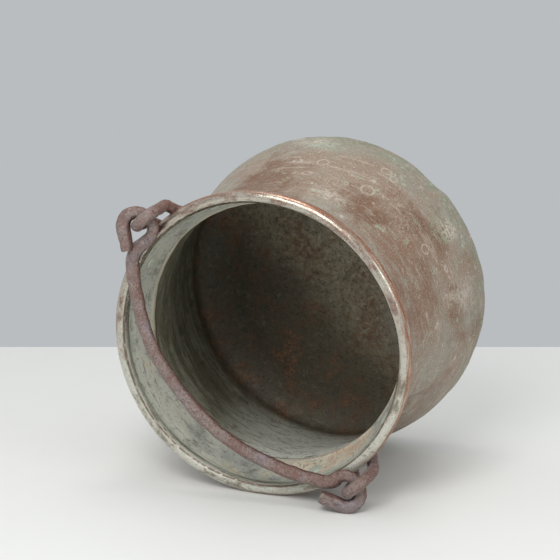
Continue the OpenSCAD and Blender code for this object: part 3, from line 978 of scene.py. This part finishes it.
def vessel_points(s, wear, iron, rows, finish):
    """The vessel's points, column by column, and how much of a hammer mark each one takes."""
    degrees = np.arange(VESSEL_COLUMNS) * 360 / VESSEL_COLUMNS
    radius = np.tile(rows[:, 0], VESSEL_COLUMNS)
    height = np.tile(rows[:, 1], VESSEL_COLUMNS)
    turn = np.repeat(degrees, len(rows))
    step = np.gradient(rows, axis=0)
    across = np.stack([step[:, 1], -step[:, 0]], 1)
    across /= np.linalg.norm(across, axis=1)[:, None]
    # the inner face follows the outer one: both are pushed along the outer face's normal
    across[finish == INSIDE] *= -1
    push = np.tile(across, (VESSEL_COLUMNS, 1))
    finish_all = np.tile(finish, VESSEL_COLUMNS)
    depth = sheet_depth(wear, turn, height, radius)
    roll_z = s.neck_z + s.collar_h
    # the ears' seats and the places on the ground keep their shape
    seat = np.zeros(len(turn))
    for ear in (math.degrees(iron.ear_angle), math.degrees(iron.ear_angle) + 180):
        seat = np.maximum(seat, hump(turned(turn, ear), 0, SEAT_REACH) ** 0.5
                          * (height > s.neck_z + 0.002))
    ground = hump(turned(turn, -90), 0, GROUND_REACH)
    keep = np.clip(1 - np.maximum(seat * 1.15, ground), 0, 1)
    near_roll = np.clip((height - (roll_z - 0.016)) / 0.010, 0, 1)
    depth *= keep * (1 - near_roll)
    # the roll is pushed about as a whole, so that it stays round
    ring_wave = np.array([noise.noise(Vector((math.cos(a) * 1.6, math.sin(a) * 1.6, 4.2)))
                          for a in np.radians(degrees)])
    ring_wave = np.repeat(ring_wave, len(rows)) * ROLL_WAVE * np.clip(1 - ground, 0, 1)
    radius_out = radius + push[:, 0] * -depth + near_roll * ring_wave * keep
    height_out = height + push[:, 1] * -depth
    # on the right the sheet's edge shows as a second ridge behind the roll
    section = np.degrees(np.arctan2(height - roll_z, radius - s.rim_r))
    right = (finish_all == RIM) * hump(turned(turn, 28), 0, 42)
    edge = right * (GROOVE_DEPTH * hump(section, -2, 9)
                    - RIDGE_HEIGHT * hump(section, -34, 13))
    radius_out -= push[:, 0] * edge
    height_out -= push[:, 1] * edge
    hammered = keep * np.where(finish_all == RIM, 0.35, 1.0)
    points = np.stack([radius_out * np.cos(np.radians(turn)),
                       radius_out * np.sin(np.radians(turn)), height_out], 1)
    return moved(lay_matrix(s), points), hammered


def vessel_faces(finish):
    """Faces between the columns and round both poles, the outer one first, and their finish."""
    count = len(finish)
    below = VESSEL_COLUMNS * count
    above = below + 1
    faces, face_finish = [], []
    for i in range(VESSEL_COLUMNS):
        a, b = i * count, ((i + 1) % VESSEL_COLUMNS) * count
        for j in range(count - 1):
            faces.append((a + j, b + j, b + j + 1, a + j + 1))
            face_finish.append(int(finish[j + 1] if finish[j + 1] != INSIDE
                                   or finish[j] == INSIDE else RIM))
        faces.append((a, below, b))
        face_finish.append(OUTSIDE)
        faces.append((a + count - 1, b + count - 1, above))
        face_finish.append(INSIDE)
    return faces, face_finish


class PAIL_OT_vessel(bpy.types.Operator):
    """Builds the raised vessel with its rolled edge, hammer marks and dents"""

    bl_idname = "pail.vessel"
    bl_label = "Vessel"

    def execute(self, context):
        settings = context.scene.pail
        s, wear, iron = settings.sizes, settings.wear, settings.iron
        rows, finish = sheet_outline(s)
        points, hammered = vessel_points(s, wear, iron, rows, finish)
        poles = moved(lay_matrix(s), np.array([[0, 0, 0.0], [0, 0, s.sheet]]))
        faces, face_finish = vessel_faces(finish)
        mesh = grid_mesh("copper_vessel", np.concatenate([points, poles]), faces)
        set_attribute(mesh, "hammered", "FLOAT", "POINT", np.append(hammered, [1, 1]))
        set_attribute(mesh, "finish", "INT", "FACE", face_finish)
        raw = new_object("raw_vessel", mesh)
        marks = raw.modifiers.new("planishing", "NODES")
        marks.node_group = hammer_tree()
        set_inputs(marks, {
            "Mark spacing": wear.mark_gap, "Mark depth": wear.mark_depth,
            "Seed": float(wear.seed),
            "Outside": outside_copper(s, settings.colours),
            "Rim": rim_copper(s, settings.colours),
            "Inside": inside_tin(s, settings.colours)})
        vessel = plain_mesh(raw, "copper_vessel")
        keep_in_box(vessel.data)
        smooth(vessel.data, 40)
        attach(vessel, PAIL_BODY)
        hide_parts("vessel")
        return {"FINISHED"}


def keep_in_box(mesh):
    """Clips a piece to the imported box, which presses its lowest points flat on the ground."""
    place = np.empty(len(mesh.vertices) * 3)
    mesh.vertices.foreach_get("co", place)
    place = place.reshape(-1, 3)
    low, high = np.array(CAD_BOX[0]), np.array(CAD_BOX[1])
    mesh.vertices.foreach_set("co", np.clip(place, low, high).ravel())
    mesh.update()


def forge(obj, tree, material, values):
    """Puts a forged skin on an object."""
    skin = obj.modifiers.new("forged", "NODES")
    skin.node_group = tree
    set_inputs(skin, {**values, "Material": material})


class PAIL_OT_ears(bpy.types.Operator):
    """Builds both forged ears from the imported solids"""

    bl_idname = "pail.ears"
    bl_label = "Ears"

    def execute(self, context):
        settings = context.scene.pail
        material = forged_iron("forged_iron_ears", settings.colours, True)
        tree = forged_tree()
        for seed, node_name in enumerate(("ear_upper", "ear_lower")):
            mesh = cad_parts[node_name].data.copy()
            shape = bmesh.new()
            shape.from_mesh(mesh)
            bmesh.ops.remove_doubles(shape, verts=shape.verts, dist=1e-6)
            shape.to_mesh(mesh)
            shape.free()
            raw = new_object("raw_ear", mesh)
            grid = raw.modifiers.new("even", "REMESH")
            grid.mode = "VOXEL"
            grid.voxel_size = EAR_GRID
            grid.adaptivity = 0.0
            soft = raw.modifiers.new("soft", "SMOOTH")
            soft.factor = 0.5
            soft.iterations = 3
            forge(raw, tree, material, {
                "Flat size": 0.010, "Flat depth": 0.0010, "Pit size": 0.0035,
                "Pit depth": 0.0008, "Raise": 0.0006, "Seed": float(seed + 1)})
            ear = plain_mesh(raw, "iron_" + node_name)
            keep_in_box(ear.data)
            smooth(ear.data, 80)
            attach(ear, PAIL_BODY)
            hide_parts(node_name)
        return {"FINISHED"}


class PAIL_OT_rivets(bpy.types.Operator):
    """Builds the four rivets that hold the ears"""

    bl_idname = "pail.rivets"
    bl_label = "Rivets"

    def execute(self, context):
        settings = context.scene.pail
        s, iron = settings.sizes, settings.iron
        roll_z = s.neck_z + s.collar_h
        top_r = s.rim_r + (s.roll_r - s.sheet) * math.cos(math.radians(ROLL_START))
        flare = math.atan((top_r - s.neck_r) / (roll_z - s.roll_r - s.neck_z))
        rivet_z = roll_z - iron.rivet_drop
        inner = -s.sheet - HEAD_GAP
        outer = SEAT_GAP + iron.foot_t + PEEN_GAP
        turn = np.radians(np.linspace(0, 90, 8))
        wide, tall = iron.wide_head_d / 2, 0.0018
        round_r, dome = iron.round_head_d / 2, 0.0026
        outline = [(wide * math.cos(a), inner - tall * math.sin(a)) for a in turn[::-1][1:]]
        outline += [(iron.shank_d / 2, inner), (iron.shank_d / 2, outer)]
        outline += [(round_r * math.cos(a), outer + dome * math.sin(a)) for a in turn[:-1]]
        outline = np.array(outline)
        around = 32
        spin = np.arange(around) * 2 * np.pi / around
        points = [(r * math.cos(a), r * math.sin(a), z) for a in spin for r, z in outline]
        points += [(0, 0, inner - tall), (0, 0, outer + dome)]
        count, low, high = len(outline), len(points) - 2, len(points) - 1
        faces = []
        for i in range(around):
            a, b = i * count, ((i + 1) % around) * count
            faces += [(a + j, b + j, b + j + 1, a + j + 1) for j in range(count - 1)]
            faces += [(a, low, b), (a + count - 1, b + count - 1, high)]
        raw = new_object("raw_rivet", grid_mesh("rivet", np.array(points), faces))
        copies = raw.modifiers.new("copies", "NODES")
        copies.node_group = rivet_tree()
        set_inputs(copies, {
            "Ear direction": iron.ear_angle, "Rivet turn": iron.rivet_turn,
            "Collar radius": s.neck_r + (rivet_z - s.neck_z) * math.tan(flare),
            "Rivet height": rivet_z, "Collar flare": flare,
            "Pail lean": s.lean, "Pail place": (0.0, s.back, s.drop),
            "Dent depth": 0.0007, "Seed": 3.0,
            "Material": tinned_head(s, settings.colours)})
        rivets = plain_mesh(raw, "rivets")
        smooth(rivets.data, 50)
        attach(rivets, PAIL_BODY)
        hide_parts("rivet_upper_left", "rivet_upper_right",
                    "rivet_lower_left", "rivet_lower_right")
        return {"FINISHED"}


def arc(cx, cy, r, start, end, count):
    a = np.radians(np.linspace(start, end, count))
    return np.stack([cx + r * np.cos(a), cy + r * np.sin(a), np.zeros(count)], 1)


def bail_half(iron, skew):
    """Centre line from the long curve's crown to the tip of one tail, in the bail's plane.

    Each point has its place and the bar's thickness there.
    """
    eye_x = iron.ear_r - iron.eye_stretch - iron.loop_r
    reach = eye_x - iron.shoulder_r + iron.bail_skew
    fall = iron.bail_rise - iron.loop_r - iron.neck_l
    arc_r = (reach ** 2 + fall ** 2 - iron.shoulder_r ** 2) / (2 * (fall - iron.shoulder_r))
    arc_cy = iron.bail_rise - arc_r
    inner_r = arc_r - iron.shoulder_r
    lean = math.degrees(math.asin((eye_x - skew - iron.shoulder_r) / inner_r))
    shoulder_y = arc_cy + inner_r * math.cos(math.radians(lean))
    tilt = np.array(Matrix.Rotation(iron.eye_tilt, 3, "X"))
    turn = math.degrees(iron.tail_turn)
    r = iron.loop_r
    swell = iron.eye_swell * np.clip(np.linspace(-0.5, 1.6, 30), 0, 1)
    outer = arc(iron.ear_r, r, r, -90, turn, 30)
    outer += swell[:, None] * (outer - [iron.ear_r, r, 0]) / r
    way = math.radians(90 + turn)
    along = np.linspace(0, 1, 12)[1:, None]
    tail = outer[-1] + along * iron.tail_l * np.array([math.cos(way), math.sin(way), 0])
    # a last blow bent the tail in towards the bar
    tail += along ** 2 * iron.tail_close * np.array([-math.sin(math.radians(turn)),
                                                     math.cos(math.radians(turn)), 0])
    rod = np.concatenate([
        arc(skew, arc_cy, arc_r, 90, 90 - lean, 120),
        arc(eye_x - iron.shoulder_r, shoulder_y, iron.shoulder_r, 90 - lean, 0, 16)[1:]])
    neck = np.linspace([eye_x, shoulder_y, 0], [eye_x, r, 0], 8)[1:]
    eye = np.concatenate([
        arc(eye_x + r, r, r, 180, 270, 16)[1:], outer @ tilt.T, tail @ tilt.T])
    thick = np.concatenate([
        np.full(len(rod), iron.bail_d), np.linspace(iron.bail_d, iron.eye_d, 8)[1:],
        np.full(15, iron.eye_d), iron.eye_d + 2 * swell,
        np.linspace(iron.eye_d + 2 * iron.eye_swell, iron.bail_d - 0.0014, len(tail))])
    return np.concatenate([rod, neck, eye]), thick


class PAIL_OT_bail(bpy.types.Operator):
    """Builds the forged bail along its centre line"""

    bl_idname = "pail.bail"
    bl_label = "Bail"

    def execute(self, context):
        settings = context.scene.pail
        s, iron = settings.sizes, settings.iron
        right, right_thick = bail_half(iron, iron.bail_skew)
        left, left_thick = bail_half(iron, -iron.bail_skew)
        line = np.concatenate([left[::-1] * np.array([-1, 1, 1]), right[1:]])
        thick = np.concatenate([left_thick[::-1], right_thick[1:]])
        keep = np.append(True, np.linalg.norm(np.diff(line, axis=0), axis=1) > 1e-6)
        line, thick = line[keep], thick[keep]
        # hand forging: the bar sags towards the lower eye and is a little uneven
        line[:, 1] -= BAIL_SAG * hump(line[:, 0], -0.100, 0.030)
        free = np.clip((line[:, 1] - 0.030) / 0.030, 0, 1)
        wobble = np.array([[noise.noise(Vector((x * 16, k * 5.0, 1.5))) for k in range(3)]
                           for x in line[:, 0]])
        line[:, 1:] += wobble[:, :2] * free[:, None] * BAIL_WANDER
        thick = thick * (1 + 0.05 * wobble[:, 2] + 0.03 * hump(line[:, 0], -0.095, 0.025)
                         + 0.02 * hump(line[:, 0], 0.110, 0.018))
        place = (lay_matrix(s) @ Matrix.Rotation(iron.ear_angle, 4, "Z")
                 @ Matrix.Translation((0, 0, iron.pivot_z))
                 @ Matrix.Rotation(iron.hang, 4, "X"))
        points = moved(place, line)
        curve = bpy.data.curves.new("bail_line", "CURVE")
        curve.dimensions = "3D"
        spline = curve.splines.new("POLY")
        spline.points.add(len(points) - 1)
        spline.points.foreach_set("co", np.append(points, np.ones((len(points), 1)), 1).ravel())
        run = np.append(0, np.cumsum(np.linalg.norm(np.diff(points, axis=0), axis=1)))
        end = np.minimum(run, run[-1] - run)
        # the tails end in a blunt tip
        radius = thick / iron.bail_d * (0.86 + 0.14 * np.clip(end / 0.003, 0, 1))
        spline.points.foreach_set("radius", radius)
        raw = new_object("raw_bail", curve)
        sweep = raw.modifiers.new("sweep", "NODES")
        sweep.node_group = bail_tree()
        set_inputs(sweep, {
            "Bar thickness": iron.bail_d, "Flat size": 0.013, "Flat depth": 0.0009,
            "Pit size": 0.0045, "Pit depth": 0.0006, "Raise": 0.0003, "Seed": 5.0,
            "Material": forged_iron("forged_iron_bail", settings.colours, False)})
        bail = plain_mesh(raw, "iron_bail")
        keep_in_box(bail.data)
        smooth(bail.data, 50)
        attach(bail, BAIL_BODY)
        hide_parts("bail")
        return {"FINISHED"}


class PAIL_OT_stage(bpy.types.Operator):
    """Builds the table, the lights, the backdrop and the camera"""

    bl_idname = "pail.stage"
    bl_label = "Stage"

    def execute(self, context):
        c = context.scene.pail.colours
        view = math.radians(21.5)
        rise = math.radians(12.0)
        target = Vector((0.0199, -0.09105, 0.2002))
        distance = 1.663
        turn = Matrix.Rotation(view, 4, "Z")
        # the table's far edge runs square to the line of sight
        far, near, half, thick = 0.56, 1.4, 1.3, 0.03
        corners = np.array([(x, y, z) for z in (-thick, 0.0)
                            for x, y in ((-half, -near), (half, -near), (half, far),
                                         (-half, far))])
        place = Matrix.Translation((target.x, target.y, 0)) @ turn
        top = grid_mesh("table", moved(place, corners), [
            (3, 2, 1, 0), (4, 5, 6, 7), (0, 1, 5, 4), (1, 2, 6, 5), (2, 3, 7, 6), (3, 0, 4, 7)])
        table = new_object("table", top)
        material, tree = new_material("painted_table")
        where = put(tree, "ShaderNodeTexCoord").outputs["Object"]
        dust = mottle(tree, where, 0.05, 3, 0.5)
        skin = paint(tree, c, "table", [("wall", (dust, 0.5, 0.9, 0.06))])
        shader = put(tree, "ShaderNodeBsdfPrincipled", {
            "Base Color": skin, "Roughness": 0.6})
        put(tree, "ShaderNodeOutputMaterial", {"Surface": shader.outputs["BSDF"]})
        top.materials.append(material)

        world = bpy.data.worlds.new("studio")
        context.scene.world = world
        world.use_nodes = True
        tree = world.node_tree
        tree.nodes.clear()
        path = put(tree, "ShaderNodeLightPath")
        seen = put(tree, "ShaderNodeMath", {
            0: path.outputs["Is Camera Ray"], 1: path.outputs["Is Transmission Ray"]},
            operation="MAXIMUM").outputs[0]
        light = put(tree, "ShaderNodeBackground", {
            "Color": (0.97, 0.985, 1.0, 1), "Strength": 0.68})
        back = put(tree, "ShaderNodeBackground", {"Color": rgba(c.wall), "Strength": 1.0})
        both = put(tree, "ShaderNodeMixShader", {
            0: seen, 1: light.outputs[0], 2: back.outputs[0]})
        put(tree, "ShaderNodeOutputWorld", {"Surface": both.outputs[0]})

        lamps = [
            # name, place along the line of sight, size, power, colour
            ("overhead", (0.00, 0.10, 1.40), 0.5, 3.0, (1.0, 0.985, 0.96)),
            ("above_front", (-0.35, -1.05, 1.20), 0.7, 11.5, (1.0, 0.985, 0.96)),
            ("right", (1.15, -1.2, 0.9), 0.6, 3.5, (1.0, 0.99, 0.98)),
        ]
        for name, spot_at, size, power, tone in lamps:
            lamp = bpy.data.lights.new(name, "AREA")
            lamp.shape = "SQUARE"
            lamp.size = size
            lamp.energy = power
            lamp.color = tone
            obj = new_object(name, lamp)
            at = place @ Vector(spot_at)
            obj.location = at
            aim = Vector((target.x, target.y, 0.13)) - at
            obj.rotation_euler = aim.to_track_quat("-Z", "Y").to_euler()

        camera = bpy.data.cameras.new("camera")
        camera.sensor_width = 36.0
        camera.lens = 122.14
        eye = new_object("camera", camera)
        back_way = Vector((math.sin(view) * math.cos(rise),
                           -math.cos(view) * math.cos(rise), math.sin(rise)))
        eye.location = target + distance * back_way
        eye.rotation_euler = (-back_way).to_track_quat("-Z", "Y").to_euler()
        context.scene.camera = eye
        context.scene.view_settings.view_transform = "Standard"
        return {"FINISHED"}


STEPS = (PAIL_OT_vessel, PAIL_OT_ears, PAIL_OT_rivets, PAIL_OT_bail, PAIL_OT_stage)


class PAIL_PT_panel(bpy.types.Panel):
    """Lists the steps that build the pail"""

    bl_idname = "PAIL_PT_panel"
    bl_label = "Old Copper Pail"
    bl_space_type = "VIEW_3D"
    bl_region_type = "UI"
    bl_category = "Pail"

    def draw(self, context):
        for step in STEPS:
            self.layout.operator(step.bl_idname)
        settings = context.scene.pail
        for group in (settings.sizes, settings.wear, settings.iron, settings.colours):
            box = self.layout.box()
            for key in group.__annotations__:
                box.prop(group, key)


CLASSES = (PailSizes, WearSizes, IronSizes, PailColours, PailSettings, *STEPS, PAIL_PT_panel)


def register():
    for kind in CLASSES:
        bpy.utils.register_class(kind)
    bpy.types.Scene.pail = PointerProperty(type=PailSettings)


def unregister():
    del bpy.types.Scene.pail
    for kind in reversed(CLASSES):
        bpy.utils.unregister_class(kind)


def main():
    register()
    bpy.ops.pail.vessel()
    bpy.ops.pail.ears()
    bpy.ops.pail.rivets()
    bpy.ops.pail.bail()
    bpy.ops.pail.stage()


if __name__ == "__main__":
    main()
